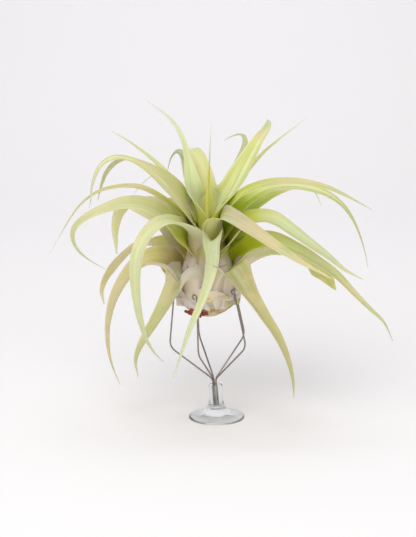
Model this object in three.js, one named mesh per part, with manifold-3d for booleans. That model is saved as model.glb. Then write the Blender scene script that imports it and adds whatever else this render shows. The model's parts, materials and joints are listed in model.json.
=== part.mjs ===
// Rio hondo air plant resting in a five-prong wire cradle on a clear suction-cup foot.
// Millimetres, +Z up. The origin is on the table, under the middle of the foot. The front is -Y and +X is
// right. A direction round the plant is an angle: 0 is the front, 90 the right, 180 the back, -90 the left.

import * as THREE from 'three';
import { mergeVertices } from 'three/addons/utils/BufferGeometryUtils.js';
import Module from 'manifold-3d';

const wasm = await Module();
wasm.setup();

// Driving dimensions of the foot
const CUP_RADIUS = 22.5;
const CUP_RIM_INNER = 20.5;
const CUP_HOLLOW = 2.4;
const STALK_RADIUS = 5.75;
const STALK_TOP = 28;
const STALK_LEAN = 0.03;
const BORE_RADIUS = 2.3;
const BORE_FLOOR = 9.5;

// Driving dimensions of the wire cradle
const PRONG_COUNT = 5;
const PRONG_FIRST = -90;
const CRADLE_TILT = 4.5;
const WIRE_RADIUS = 0.65;
const BUNDLE_RADIUS = 1.4;
const JUNCTION_HEIGHT = 34;
const KNEE_RADIUS = 34;
const KNEE_HEIGHT = 62;
const KNEE_ROUND = 6;
const EYE_RADIUS = 1.75;
const EYE_SWEEP = 265;
const TIP_RADIUS = 26.4;
const TIP_HEIGHT = 107.5;
const WIRE_SIDES = 8;

// Driving dimensions of the plant
const PLANT_X = -7;
const SEAT_GAP = 0.3;
const SHEATH_LIP = 0.9;
const LEAF_THICK_BASE = 1.7;
const LEAF_THICK_TIP = 0.8;
const LEAF_STATIONS = 16;
const ROOT_SHARE = 0.6;
const LEAF_ACROSS = [-1, -0.5, 0, 0.5, 1];

const radians = THREE.MathUtils.degToRad;
const smooth = (x, from, to) => THREE.MathUtils.smoothstep(x, from, to);

// Colours and finishes
const finish = (color, roughness, metalness = 0) => new THREE.MeshStandardMaterial({ color, roughness, metalness });
const clearPlastic = new THREE.MeshStandardMaterial({
  color: '#eef2f4', roughness: 0.12, transparent: true, opacity: 0.4,
});
const wire = finish('#8d8984', 0.35, 0.9);
const sheathCream = finish('#e2dcc8', 0.7);
const rootRust = finish('#a4552f', 0.85);
const greens = {
  young: finish('#c3d28a', 0.6),
  blade: finish('#c9d3a4', 0.6),
  old: finish('#cdc3a0', 0.65),
};

// A closed solid from a row of rings, each with the same number of points, going round counter-clockwise
// when seen from the far end. Both ends are closed by a fan.
function solidFromRings(rings) {
  const sides = rings[0].length;
  const points = rings.flat();
  const faces = [];
  for (let i = 0; i < rings.length - 1; i += 1) {
    for (let j = 0; j < sides; j += 1) {
      const a = i * sides + j;
      const b = i * sides + ((j + 1) % sides);
      faces.push(a, b, b + sides, a, b + sides, a + sides);
    }
  }
  const last = (rings.length - 1) * sides;
  for (let j = 1; j < sides - 1; j += 1) {
    faces.push(0, j + 1, j);
    faces.push(last, last + j, last + j + 1);
  }
  const geometry = new THREE.BufferGeometry();
  geometry.setAttribute('position', new THREE.Float32BufferAttribute(points.flatMap((p) => [p.x, p.y, p.z]), 3));
  geometry.setIndex(faces);
  return geometry;
}

function toSolid(geometry) {
  const bare = geometry.clone();
  bare.deleteAttribute('normal');
  bare.deleteAttribute('uv');
  const merged = mergeVertices(bare, 1e-4);
  return new wasm.Manifold(new wasm.Mesh({
    numProp: 3,
    vertProperties: new Float32Array(merged.attributes.position.array),
    triVerts: new Uint32Array(merged.index.array),
  }));
}

function toGeometry(solid) {
  const mesh = solid.getMesh();
  const geometry = new THREE.BufferGeometry();
  geometry.setAttribute('position', new THREE.BufferAttribute(new Float32Array(mesh.vertProperties), 3));
  geometry.setIndex(new THREE.BufferAttribute(new Uint32Array(mesh.triVerts), 1));
  return geometry;
}

function piece(name, geometry, material) {
  const mesh = new THREE.Mesh(geometry, material);
  mesh.name = name;
  return mesh;
}

// Axes along a path, each turned from the one before it with no roll. The side vector starts as given.
function framesAlong(points, startSide) {
  const frames = [];
  let side = startSide.clone();
  for (let i = 0; i < points.length; i += 1) {
    const before = points[Math.max(i - 1, 0)];
    const after = points[Math.min(i + 1, points.length - 1)];
    const tangent = after.clone().sub(before).normalize();
    side = side.clone().addScaledVector(tangent, -side.dot(tangent)).normalize();
    const inner = new THREE.Vector3().crossVectors(tangent, side);
    frames.push({ point: points[i], side, inner });
  }
  return frames;
}

// The foot: one clear moulding, a thin disc that flares up into a round stalk with a blind bore
function suctionCup() {
  const outline = [
    [0, CUP_HOLLOW], [9, 2.1], [16, 1.1], [CUP_RIM_INNER, 0], [CUP_RADIUS, 0], [CUP_RADIUS, 0.9],
    [20, 1.9], [15, 3.3], [10.5, 5.2], [7.6, 8], [6.3, 11.5], [STALK_RADIUS, 15],
    [STALK_RADIUS, STALK_TOP - 1], [STALK_RADIUS - 1, STALK_TOP], [0, STALK_TOP],
  ];
  const body = new THREE.LatheGeometry(outline.map(([r, z]) => new THREE.Vector2(r, z)), 32);
  body.rotateX(Math.PI / 2);
  const position = body.attributes.position;
  for (let i = 0; i < position.count; i += 1) {
    const rise = Math.max(position.getZ(i) - CUP_HOLLOW, 0);
    position.setX(i, position.getX(i) - rise * STALK_LEAN);
  }
  const depth = STALK_TOP;
  const bore = new THREE.CylinderGeometry(BORE_RADIUS, BORE_RADIUS, depth, 20);
  bore.rotateX(Math.PI / 2).translate(0, 0, depth / 2).rotateY(radians(-CRADLE_TILT)).translate(0, 0, BORE_FLOOR);
  return toGeometry(toSolid(body).subtract(toSolid(bore)));
}

// One wire, in the plane of its own direction: shank, lower leg, rounded knee, upper leg and curled eye.
// Here x is out from the cradle's axis, y runs sideways and z is the height above the bore's floor.
function prong() {
  const shankFoot = SEAT_GAP + 0.3;
  const junction = JUNCTION_HEIGHT - BORE_FLOOR;
  const knee = new THREE.Vector3(KNEE_RADIUS, 0, KNEE_HEIGHT - BORE_FLOOR);
  const bend = new THREE.Vector3(BUNDLE_RADIUS, 0, junction - 1.5);
  const tip = new THREE.Vector3(TIP_RADIUS, 0, TIP_HEIGHT - BORE_FLOOR);
  const down = bend.clone().sub(knee).normalize();
  const up = tip.clone().sub(knee).normalize();
  const path = [
    new THREE.Vector3(BUNDLE_RADIUS, 0, shankFoot),
    new THREE.Vector3(BUNDLE_RADIUS, 0, junction - 4),
    new THREE.Vector3(BUNDLE_RADIUS + 0.3, 0, junction - 2.2),
    bend.clone().addScaledVector(down, -2).add(new THREE.Vector3(0.1, 0, 0.1)),
  ];
  const kneeCurve = new THREE.QuadraticBezierCurve3(
    knee.clone().addScaledVector(down, KNEE_ROUND), knee, knee.clone().addScaledVector(up, KNEE_ROUND),
  );
  path.push(...kneeCurve.getPoints(5));
  const curl = new THREE.Vector3(0, -1, 0);
  const centre = tip.clone().addScaledVector(curl, EYE_RADIUS);
  const eyeSteps = 9;
  for (let i = 0; i <= eyeSteps; i += 1) {
    const angle = radians(EYE_SWEEP * i / eyeSteps);
    path.push(centre.clone()
      .addScaledVector(curl, -EYE_RADIUS * Math.cos(angle))
      .addScaledVector(up, EYE_RADIUS * Math.sin(angle)));
  }
  const rings = framesAlong(path, new THREE.Vector3(0, 1, 0)).map(({ point, side, inner }) => {
    const ring = [];
    for (let j = 0; j < WIRE_SIDES; j += 1) {
      const angle = 2 * Math.PI * j / WIRE_SIDES;
      ring.push(point.clone()
        .addScaledVector(side, WIRE_RADIUS * Math.cos(angle))
        .addScaledVector(inner, WIRE_RADIUS * Math.sin(angle)));
    }
    return ring;
  });
  return solidFromRings(rings);
}

function cradle() {
  const group = new THREE.Group();
  group.position.set(0, 0, BORE_FLOOR);
  group.rotation.y = radians(-CRADLE_TILT);
  for (let i = 0; i < PRONG_COUNT; i += 1) {
    const mesh = piece(`prong_${i + 1}`, prong(), wire);
    mesh.rotation.z = radians(PRONG_FIRST - 90 + i * 360 / PRONG_COUNT);
    group.add(mesh);
  }
  return group;
}

// The bulb: a short thick stem wrapped in pale sheaths. Its radius is a smooth profile with a raised lip
// along the upper edge of each sheath.
const BULB_PROFILE = [
  [85, 3], [87, 7], [90, 12], [94, 17], [98, 21], [103, 23.6], [108, 24], [114, 22.4], [120, 20.2], [127, 17.6],
  [134, 15.4], [142, 12.8], [149, 10], [155, 7.4], [160, 4.8], [163, 2.6],
];
const SHEATHS = [
  { toward: -10, top: 116, spread: 62 }, { toward: 128, top: 112, spread: 60 },
  { toward: -130, top: 114, spread: 60 }, { toward: 60, top: 126, spread: 58 },
  { toward: -70, top: 130, spread: 55 }, { toward: 180, top: 128, spread: 58 },
  { toward: 15, top: 142, spread: 60 }, { toward: 110, top: 145, spread: 60 },
  { toward: -120, top: 148, spread: 60 },
];
const SHEATH_LENGTH = 24;

function bulbRadius(toward, z) {
  let radius = BULB_PROFILE[0][1];
  for (let i = 1; i < BULB_PROFILE.length; i += 1) {
    const [z0, r0] = BULB_PROFILE[i - 1];
    const [z1, r1] = BULB_PROFILE[i];
    if (z >= z0) {
      radius = r0 + (r1 - r0) * Math.min((z - z0) / (z1 - z0), 1);
    }
  }
  let lip = 0;
  for (const sheath of SHEATHS) {
    const turn = Math.abs(((toward - sheath.toward + 540) % 360) - 180) / sheath.spread;
    const edge = sheath.top - 16 * turn * turn;
    if (turn < 1 && z <= edge) {
      const raised = SHEATH_LIP * smooth(z, edge - SHEATH_LENGTH, edge) * (1 - turn ** 4);
      lip = Math.max(lip, raised);
    }
  }
  return radius + lip;
}

const outwards = (toward) => new THREE.Vector3(Math.sin(radians(toward)), -Math.cos(radians(toward)), 0);
const sideways = (toward) => new THREE.Vector3(Math.cos(radians(toward)), Math.sin(radians(toward)), 0);

function bulb() {
  const sides = 36;
  const heights = [85, 87, 90, 94, 98, 102, 106, 110, 114, 118, 122, 127, 132, 137, 142, 147, 151, 155, 160, 163];
  const rings = heights.map((z) => {
    const ring = [];
    for (let j = 0; j < sides; j += 1) {
      const toward = 360 * j / sides;
      ring.push(outwards(toward).multiplyScalar(bulbRadius(toward, z)).setZ(z));
    }
    return ring;
  });
  return solidFromRings(rings);
}

// The dry end of the old stem and its root stubs, against the underside of the bulb, at its front left.
// They are modelled upright, with the top at the height 0, and then leaned and moved to their place.
const ROOT_STUBS = [
  { toward: -125, reach: 10.5, droop: 0.3, thick: 2.4 }, { toward: -45, reach: 7, droop: 2, thick: 2.6 },
  { toward: 24, reach: 7.5, droop: 2.8, thick: 1.9 }, { toward: 70, reach: 9.5, droop: 0.5, thick: 2.4 },
  { toward: 160, reach: 8, droop: 0.8, thick: 2.1 },
];
const STEM_END_TOWARD = -27;
const STEM_END_OUT = 18;
const STEM_END_HEIGHT = 94;
const STEM_END_LEAN = 43;

function oldRoots() {
  const plug = new THREE.LatheGeometry(
    [[0, -5], [2.8, -4.6], [4, -2.6], [3.4, 0], [0, 0]].map(([r, z]) => new THREE.Vector2(r, z)), 10,
  );
  plug.rotateX(Math.PI / 2);
  let solid = toSolid(plug);
  for (const stub of ROOT_STUBS) {
    const start = outwards(stub.toward).setZ(-2.6);
    const end = outwards(stub.toward).multiplyScalar(stub.reach).setZ(-2.6 - stub.droop);
    const middle = start.clone().lerp(end, 0.6).add(new THREE.Vector3(0, 0, -0.5));
    const rings = framesAlong([start, middle, end], sideways(stub.toward)).map(({ point, side, inner }, i) => {
      const radius = stub.thick * [1, 0.85, 0.45][i];
      return [0, 1, 2, 3, 4, 5].map((j) => point.clone()
        .addScaledVector(side, radius * Math.cos(j * Math.PI / 3))
        .addScaledVector(inner, 0.8 * radius * Math.sin(j * Math.PI / 3)));
    });
    solid = solid.add(toSolid(solidFromRings(rings)));
  }
  const geometry = toGeometry(solid);
  const place = outwards(STEM_END_TOWARD).multiplyScalar(STEM_END_OUT).setZ(STEM_END_HEIGHT);
  geometry.applyMatrix4(new THREE.Matrix4().makeRotationAxis(sideways(STEM_END_TOWARD), radians(-STEM_END_LEAN)));
  return geometry.translate(place.x, place.y, place.z);
}

// The leaves. Each one starts on the bulb at the height seat, in the direction toward, and follows its
// route: points of distance out from the plant's axis, height, and sideways step (0 where it is left out).
// width is the widest chord, fold is how deep the channel is at its deepest, over half the chord, and roll
// is how many degrees the blade turns about its own length, past its root. Some leaves also have an
// endRoll, which is the roll of the hanging end, aside, which is how many degrees the seat stands round the
// bulb from toward, taper, which is higher where the blade keeps its width longer, slim, which is the share
// of the width that it loses from slimFrom to past its middle, and opens, which is the share of its length
// where it gets its full width.
const LEAVES = [
  // The lower tier
  { name: 'leaf_hang_right', age: 'blade', toward: 44, aside: -17, seat: 112, width: 33, fold: 0.42, roll: 0,
    route: [[28, 123, -8], [32, 128, -8], [37, 124, -7], [47, 112, -5], [62, 96, -2], [76, 82],
      [87, 67], [93, 52], [95, 37]] },
  { name: 'leaf_hang_left', age: 'blade', toward: -50, aside: 13, seat: 110, width: 26, fold: 0.5, roll: 12,
    route: [[25.5, 117, 5.5], [27, 121, 6], [31, 118, 5], [39, 107, 3], [52, 90], [66, 75], [73, 62],
      [71, 47]] },
  { name: 'leaf_side_right', age: 'blade', toward: 102, seat: 112, width: 25, fold: 0.6, roll: 12,
    route: [[31, 123], [44, 131], [58, 133], [75, 128], [93, 117], [107, 101]] },
  { name: 'leaf_side_left', age: 'old', toward: -118, seat: 112, width: 22, fold: 0.45, roll: -8, endRoll: -25,
    taper: 1.7, route: [[31, 127], [46, 137], [62, 136], [80, 124], [94, 108], [100, 95], [98, 83]] },
  { name: 'leaf_side_front', age: 'old', toward: -84, seat: 109, width: 23, fold: 0.45, roll: 25,
    route: [[30, 121], [39, 128], [49, 129], [59, 123], [69, 111], [76, 97], [80, 79], [80, 61],
      [77, 45], [71, 29]] },
  // The middle tier
  { name: 'leaf_low_right', age: 'blade', toward: 76, seat: 123, width: 23, fold: 0.45, roll: -20,
    route: [[25, 134], [36, 144], [52, 147], [71, 142], [87, 134], [103, 124], [118, 110], [131, 98],
      [142, 88], [149, 74]] },
  { name: 'leaf_hang_front', age: 'blade', toward: 0, seat: 131, width: 15, fold: 0.6, roll: 0, slim: 0.2,
    route: [[20, 145, 1], [25, 151, 2], [30, 149, 2], [36, 138, 3], [44, 123, 0], [52, 105, -7],
      [60, 87, -15], [65, 70, -21], [68, 52, -27]] },
  { name: 'leaf_mid_right', age: 'blade', toward: 70, seat: 136, width: 27, fold: 0.4, roll: -20,
    route: [[20, 149], [31, 162], [45, 167], [56, 166], [69, 159], [84, 150], [100, 140], [113, 131],
      [127, 125]] },
  { name: 'leaf_arch_right_3', age: 'young', toward: 124, seat: 139, width: 23, fold: 0.6, roll: 0,
    route: [[20, 155], [33, 168], [50, 176], [70, 182], [90, 183], [106, 176], [114, 164]] },
  { name: 'leaf_arch_left_5', age: 'old', toward: -136, seat: 135, width: 37, fold: 0.4, roll: 48, endRoll: -35,
    taper: 1.5, slim: 0.3, route: [[22, 149], [38, 159], [68, 164], [91, 164], [106, 157], [113, 142],
      [112, 119]] },
  { name: 'leaf_arch_left_4', age: 'blade', toward: -82, seat: 137, width: 23, fold: 0.35, roll: 35, slim: 0.2,
    route: [[20, 151], [33, 165], [48, 175], [66, 178], [86, 173], [101, 165], [107, 156], [105, 145],
      [96, 135], [82, 126]] },
  { name: 'leaf_front_left', age: 'blade', toward: -38, seat: 138, width: 19, fold: 0.5, roll: 10,
    route: [[19, 151], [30, 162], [46, 168], [62, 168], [75, 162], [84, 152], [88, 138], [88, 122], [84, 101],
      [76, 81], [66, 68], [56, 59]] },
  // The upper tier
  { name: 'leaf_front_right', age: 'blade', toward: 44, seat: 146, width: 20, fold: 0.55, roll: -10,
    route: [[14, 157, -3], [19, 167, -5], [29, 169, -5], [46, 163, -2], [70, 154], [99, 145], [120, 140],
      [132, 137]] },
  { name: 'leaf_arch_right_2', age: 'young', toward: 98, seat: 146, width: 19, fold: 0.4, roll: -30,
    route: [[17, 161], [29, 175], [46, 186], [64, 189], [80, 187], [95, 182], [107, 174], [116, 163],
      [123, 149], [128, 134], [131, 121]] },
  { name: 'leaf_arch_left_3', age: 'young', toward: -97, seat: 146, width: 10, fold: 0.5, roll: 10, taper: 2.4,
    route: [[16, 158], [26, 170], [40, 181], [56, 188], [74, 188], [90, 183], [103, 173], [112, 161],
      [121, 146], [129, 132]] },
  { name: 'leaf_arch_left_1', age: 'young', toward: -62, seat: 149, width: 35, opens: 0.45, fold: 0.3, roll: 45,
    taper: 1.8, slim: 0.75, slimFrom: 0.25,
    route: [[14, 163], [27, 182], [43, 200], [62, 214], [79, 219], [92, 214], [99, 201], [101, 188],
      [102, 181]] },
  { name: 'leaf_arch_left_2', age: 'young', toward: -130, seat: 147, width: 12, fold: 0.4, roll: 10, endRoll: -25,
    taper: 2.2, route: [[17, 162], [34, 180], [57, 195], [80, 203], [97, 201], [110, 191], [117, 178],
      [121, 166]] },
  // The innermost leaves
  { name: 'leaf_arch_right_1', age: 'young', toward: 70, seat: 152, width: 18, fold: 0.35, roll: -25,
    route: [[13, 168], [26, 183], [41, 192], [59, 197], [77, 198], [93, 196], [109, 191], [133, 180]] },
  { name: 'leaf_slim_right', age: 'young', toward: 121, seat: 152, width: 11.5, fold: 0.6, roll: -10, taper: 1.8,
    slim: 0.45, route: [[13, 167], [24, 184], [38, 200], [52, 213], [67, 223], [82, 232], [94, 239]] },
  { name: 'leaf_hook_back', age: 'young', toward: 163, seat: 152, width: 17, opens: 0.5, fold: 0.4, roll: 0,
    route: [[12, 166, -1], [28, 182, -6], [47, 200, -11], [63, 213, -12], [71, 220, -10], [74, 222.5, -5],
      [73, 220.5, 2], [71, 217, 8]] },
  { name: 'leaf_slim_left', age: 'young', toward: -98, seat: 151, width: 10, fold: 0.5, roll: 20, taper: 1.8,
    route: [[11, 162], [20, 180], [34, 200], [46, 212], [62, 224], [77, 233]] },
  { name: 'leaf_hook_left', age: 'young', toward: -145, seat: 151, width: 16, opens: 0.5, fold: 0.4, roll: 20,
    route: [[12, 165], [21, 182], [27.5, 198, 0.5], [33, 210.5, 1], [38, 214, 3.5], [42, 208, 7],
      [44, 195, 10]] },
  { name: 'leaf_tall_left', age: 'young', toward: -98, seat: 158, width: 26, opens: 0.5, fold: 0.45, roll: 60,
    slim: 0.62, slimFrom: 0.15,
    route: [[9, 171], [12.5, 186], [15, 203], [17.5, 218], [21, 230], [27, 240], [35, 248], [48, 257]] },
  { name: 'leaf_tall_back', age: 'young', toward: -161, seat: 157, width: 25, opens: 0.55, fold: 0.4, roll: 0,
    route: [[8, 170], [12, 185], [19, 199], [30, 209.5], [45, 214, -1], [60, 210, -4], [74, 198, -10],
      [84, 182, -16]] },
  { name: 'leaf_tall_right', age: 'young', toward: 108, seat: 158, width: 24, fold: 0.5, roll: -50,
    route: [[9, 169], [12.5, 175], [19, 186], [26, 199], [33.5, 212], [41.5, 225], [50, 233, 5],
      [56, 237, 15], [60, 238, 28]] },
  { name: 'leaf_spike', age: 'young', toward: 90, width: 7, fold: 0.8, roll: 0,
    route: [[0.6, 163.4], [0.6, 172], [0.8, 188], [1.4, 206], [1.8, 224], [2.6, 241]] },
];

// The leaves at the back that close the rosette, by tier: where they start, how far they reach, how they hang
const BACK_TIERS = [
  { toward: [144, -168], seat: 111, width: 21, rise: 23, reach: 88, tip: 121 },
  { toward: [154, -156], seat: 124, width: 20, rise: 26, reach: 92, tip: 128 },
  { toward: [178], seat: 138, width: 19, rise: 32, reach: 94, tip: 148 },
  { toward: [-171], seat: 147, width: 15, rise: 36, reach: 88, tip: 168 },
];

function backLeaves() {
  const leaves = [];
  for (const { toward, seat, width, rise, reach, tip } of BACK_TIERS) {
    for (const direction of toward) {
      const start = bulbRadius(direction, seat);
      const across = reach - start;
      leaves.push({
        name: `leaf_back_${leaves.length + 1}`, age: 'blade', toward: direction, seat, width, fold: 0.6, roll: 0,
        route: [
          [start + 0.07 * across, seat + 0.5 * rise], [start + 0.2 * across, seat + 0.85 * rise],
          [start + 0.4 * across, seat + rise], [start + 0.65 * across, seat + rise * 0.8],
          [start + 0.88 * across, (seat + rise * 0.8 + tip) / 2], [reach, tip],
        ],
      });
    }
  }
  return leaves;
}

// A leaf's taper, and how its channel and its roll come in, at a share of its length
const taperAt = (share, power) => 1 - 0.95 * share ** power;
const foldAt = (share) => smooth(share, -0.05, 0.14) * (1 - 0.55 * smooth(share, 0.2, 0.7));
const rollAt = (share) => smooth(share, 0.1, 0.42);
const endRollAt = (share) => smooth(share, 0.5, 0.75);
const slimAt = (share, from) => smooth(share, from, 0.6);

function leaf({
  toward, aside = 0, seat, width, opens = 0.26, fold, roll, endRoll = roll, taper = 1.15, slim = 0, slimFrom = 0.05,
  route,
}) {
  const out = outwards(toward);
  const across = sideways(toward);
  const place = ([r, z, side = 0]) => out.clone().multiplyScalar(r).addScaledVector(across, side).setZ(z);
  const points = route.map(place);
  let rootWidth = width;
  if (seat !== undefined) {
    const seated = toward + aside;
    rootWidth = Math.min(width, ROOT_SHARE * bulbRadius(seated, seat));
    const spread = THREE.MathUtils.radToDeg(rootWidth / 2 / bulbRadius(seated, seat));
    const carried = Math.max(...[-1, -0.5, 0, 0.5, 1].map((t) => bulbRadius(seated + t * spread, seat)));
    points.unshift(outwards(seated).multiplyScalar(carried + SEAT_GAP + 0.5 * LEAF_THICK_BASE).setZ(seat));
  }
  const curve = new THREE.CatmullRomCurve3(points, false, 'catmullrom', 0.5);
  curve.arcLengthDivisions = 400;
  const stations = [];
  for (let i = 0; i < LEAF_STATIONS; i += 1) {
    stations.push(curve.getPointAt(i / (LEAF_STATIONS - 1)));
  }
  const rings = framesAlong(stations, sideways(toward + aside)).map((frame, i) => {
    const share = i / (LEAF_STATIONS - 1);
    const turn = radians(THREE.MathUtils.lerp(roll * rollAt(share), endRoll, endRollAt(share)));
    const side = frame.side.clone().multiplyScalar(Math.cos(turn)).addScaledVector(frame.inner, -Math.sin(turn));
    const inner = frame.inner.clone().multiplyScalar(Math.cos(turn)).addScaledVector(frame.side, Math.sin(turn));
    const chord = THREE.MathUtils.lerp(rootWidth, width, smooth(share, 0, opens));
    const half = chord * taperAt(share, taper) * (1 - slim * slimAt(share, slimFrom)) / 2;
    const deep = fold * foldAt(share);
    const thick = THREE.MathUtils.lerp(LEAF_THICK_BASE, LEAF_THICK_TIP, Math.sqrt(share));
    const face = (sign) => LEAF_ACROSS.map((t) => {
      const slope = 2 * deep * t;
      const skin = sign * thick * (0.5 - 0.1 * t * t) / Math.hypot(slope, 1);
      return frame.point.clone()
        .addScaledVector(side, half * t - skin * slope)
        .addScaledVector(inner, half * deep * t * t + skin);
    });
    return [...face(-1), ...face(1).reverse()];
  });
  return solidFromRings(rings);
}

function plant() {
  const group = new THREE.Group();
  group.position.x = PLANT_X;
  group.add(piece('bulb', bulb(), sheathCream));
  group.add(piece('old_roots', oldRoots(), rootRust));
  for (const entry of [...LEAVES, ...backLeaves()]) {
    group.add(piece(entry.name, leaf(entry), greens[entry.age]));
  }
  return group;
}

const model = new THREE.Group();
model.add(piece('suction_cup', suctionCup(), clearPlastic));
model.add(cradle());
model.add(plant());

export default model;
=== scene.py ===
# Looks of a rio hondo air plant that sits in a five-prong wire cradle on a clear suction-cup foot.
# Lengths are in millimetres until a mesh is made. +Z is up, the front is -Y and +X is right.
# A direction round the plant is an angle: 0 is the front, 90 the right, 180 the back and -90 the left.

import json
import math
import random

import bmesh
import bpy
import numpy as np
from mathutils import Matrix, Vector

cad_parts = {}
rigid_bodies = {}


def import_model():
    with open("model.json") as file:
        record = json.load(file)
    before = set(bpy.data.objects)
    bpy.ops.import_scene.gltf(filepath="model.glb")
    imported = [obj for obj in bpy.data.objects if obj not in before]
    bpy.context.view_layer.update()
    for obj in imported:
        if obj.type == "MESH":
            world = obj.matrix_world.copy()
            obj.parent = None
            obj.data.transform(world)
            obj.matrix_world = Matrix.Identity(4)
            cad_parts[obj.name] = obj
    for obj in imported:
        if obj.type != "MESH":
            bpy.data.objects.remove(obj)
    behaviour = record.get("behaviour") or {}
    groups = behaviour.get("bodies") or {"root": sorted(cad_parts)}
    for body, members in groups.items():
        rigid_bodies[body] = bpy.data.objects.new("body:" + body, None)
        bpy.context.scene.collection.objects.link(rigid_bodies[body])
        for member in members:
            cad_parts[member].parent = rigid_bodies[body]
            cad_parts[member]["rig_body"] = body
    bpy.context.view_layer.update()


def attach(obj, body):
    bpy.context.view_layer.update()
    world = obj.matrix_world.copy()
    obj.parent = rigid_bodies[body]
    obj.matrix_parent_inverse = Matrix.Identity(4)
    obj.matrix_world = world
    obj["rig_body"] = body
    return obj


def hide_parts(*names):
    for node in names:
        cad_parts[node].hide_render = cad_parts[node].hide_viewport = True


MM = 0.001
PLANT_X = -7.0
FULL_TURN = 2 * math.pi
ANY_PHASE = 6.28

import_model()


# Small helpers

def smooth(x, start, end):
    share = np.clip((x - start) / (end - start), 0.0, 1.0)
    return share * share * (3.0 - 2.0 * share)


def blend(a, b, share):
    return a * (1 - share) + b * share


def outwards(toward):
    return np.array([math.sin(math.radians(toward)), -math.cos(math.radians(toward)), 0.0])


def sideways(toward):
    return np.array([math.cos(math.radians(toward)), math.sin(math.radians(toward)), 0.0])


def up(z):
    return np.array([0.0, 0.0, z])


def round_axis(angle, radius, z):
    """Points at the angles round the plant's axis, at a radius and height of their own."""
    return np.stack([np.sin(angle) * radius, -np.cos(angle) * radius, z], axis=1)


def unit(vector):
    return vector / max(np.linalg.norm(vector), 1e-12)


def turned(points, axis, degrees):
    """The points turned about an axis through the origin."""
    angle = math.radians(degrees)
    axis = unit(np.asarray(axis, float))
    points = np.asarray(points, float)
    return (points * math.cos(angle) + np.cross(axis, points) * math.sin(angle)
            + np.outer(points @ axis, axis) * (1 - math.cos(angle)))


def catmull_rom(points, per_span=24):
    """A smooth line through the points."""
    points = [np.asarray(p, float) for p in points]
    points = [2 * points[0] - points[1]] + points + [2 * points[-1] - points[-2]]
    line = []
    for a, b, c, d in zip(points, points[1:], points[2:], points[3:]):
        for step in range(per_span):
            t = step / per_span
            line.append(0.5 * (2 * b + (c - a) * t + (2 * a - 5 * b + 4 * c - d) * t ** 2
                               + (3 * b - a - 3 * c + d) * t ** 3))
    line.append(points[-2])
    return np.array(line)


def bezier(start, corner, end, steps):
    """A line that rounds a corner."""
    shares = [step / steps for step in range(steps + 1)]
    return [(1 - t) ** 2 * start + 2 * t * (1 - t) * corner + t * t * end for t in shares]


def step_lengths(line):
    return np.linalg.norm(np.diff(line, axis=0), axis=1)


def resample(line, at):
    """The points of the line at the distances at."""
    run = np.concatenate([[0.0], np.cumsum(step_lengths(line))])
    return np.stack([np.interp(at, run, line[:, k]) for k in range(3)], axis=1)


def frames_along(points, start_side):
    """The side and inner axis at each point, turned along the line without roll."""
    side = np.asarray(start_side, float)
    sides = []
    inners = []
    for i in range(len(points)):
        tangent = unit(points[min(i + 1, len(points) - 1)] - points[max(i - 1, 0)])
        side = unit(side - tangent * side.dot(tangent))
        sides.append(side)
        inners.append(np.cross(tangent, side))
    return np.array(sides), np.array(inners)


def grid_faces(rows, columns, wrap=False):
    """Quads of a grid of points, kept row by row."""
    faces = []
    last = columns if wrap else columns - 1
    for i in range(rows - 1):
        for j in range(last):
            a = i * columns + j
            b = i * columns + (j + 1) % columns
            faces.append((a, b, b + columns, a + columns))
    return faces


def closed_faces(rows, count):
    """Faces of a closed skin over rings of points, with a cap on the first and the last ring."""
    first = tuple(reversed(range(count)))
    last = tuple(range((rows - 1) * count, rows * count))
    return grid_faces(rows, count, wrap=True) + [first, last]


def closed_sheet(outer, inner):
    """Points and faces of a thin closed sheet, from the grids of its outer and inner skin."""
    grid = np.concatenate([outer, inner[:, ::-1]], axis=1)
    rows, count = grid.shape[:2]
    return grid.reshape(-1, 3), [tuple(reversed(face)) for face in closed_faces(rows, count)]


def sheet_uv(across, along):
    """UV of a closed sheet: over its outer skin, back over its inner one, and along both."""
    over = (across + 1) / 2
    return np.stack(np.meshgrid(np.concatenate([over, over[::-1]]), along), axis=2).reshape(-1, 2)


def tube(path, radii, sides, start_side, flatten=1.0):
    """Points and faces of a round or flattened rod along a path."""
    side, inner = frames_along(path, start_side)
    angle = np.linspace(0, FULL_TURN, sides, endpoint=False)
    rings = (path[:, None, :] + side[:, None, :] * (radii[:, None] * np.cos(angle))[:, :, None]
             + inner[:, None, :] * (flatten * radii[:, None] * np.sin(angle))[:, :, None])
    return rings.reshape(-1, 3), closed_faces(len(path), sides)


def gathered(solids):
    """The points and faces of several closed forms as those of one mesh."""
    points = []
    faces = []
    for new_points, new_faces in solids:
        start = len(points)
        points.extend(np.asarray(new_points).tolist())
        faces.extend([tuple(i + start for i in face) for face in new_faces])
    return points, faces


def make_object(name, points, faces, material, uv=None, data=None, offset=(0.0, 0.0, 0.0)):
    """A smooth mesh object from points in millimetres. uv has a pair and data four values for each point."""
    mesh = bpy.data.meshes.new(name)
    shifted = (np.asarray(points, float) + np.asarray(offset)) * MM
    mesh.from_pydata(shifted.tolist(), [], faces)
    mesh.update()
    loops = np.zeros(len(mesh.loops), np.int32)
    mesh.loops.foreach_get("vertex_index", loops)
    if uv is not None:
        layer = mesh.uv_layers.new(name="UVMap")
        layer.data.foreach_set("uv", np.asarray(uv, np.float32)[loops].ravel())
    if data is not None:
        colour = mesh.color_attributes.new(name="leaf_data", type="FLOAT_COLOR", domain="POINT")
        colour.data.foreach_set("color", np.asarray(data, np.float32).ravel())
    mesh.shade_smooth()
    mesh.materials.append(material)
    obj = bpy.data.objects.new(name, mesh)
    bpy.context.scene.collection.objects.link(obj)
    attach(obj, "root")
    return obj


# Materials

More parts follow.
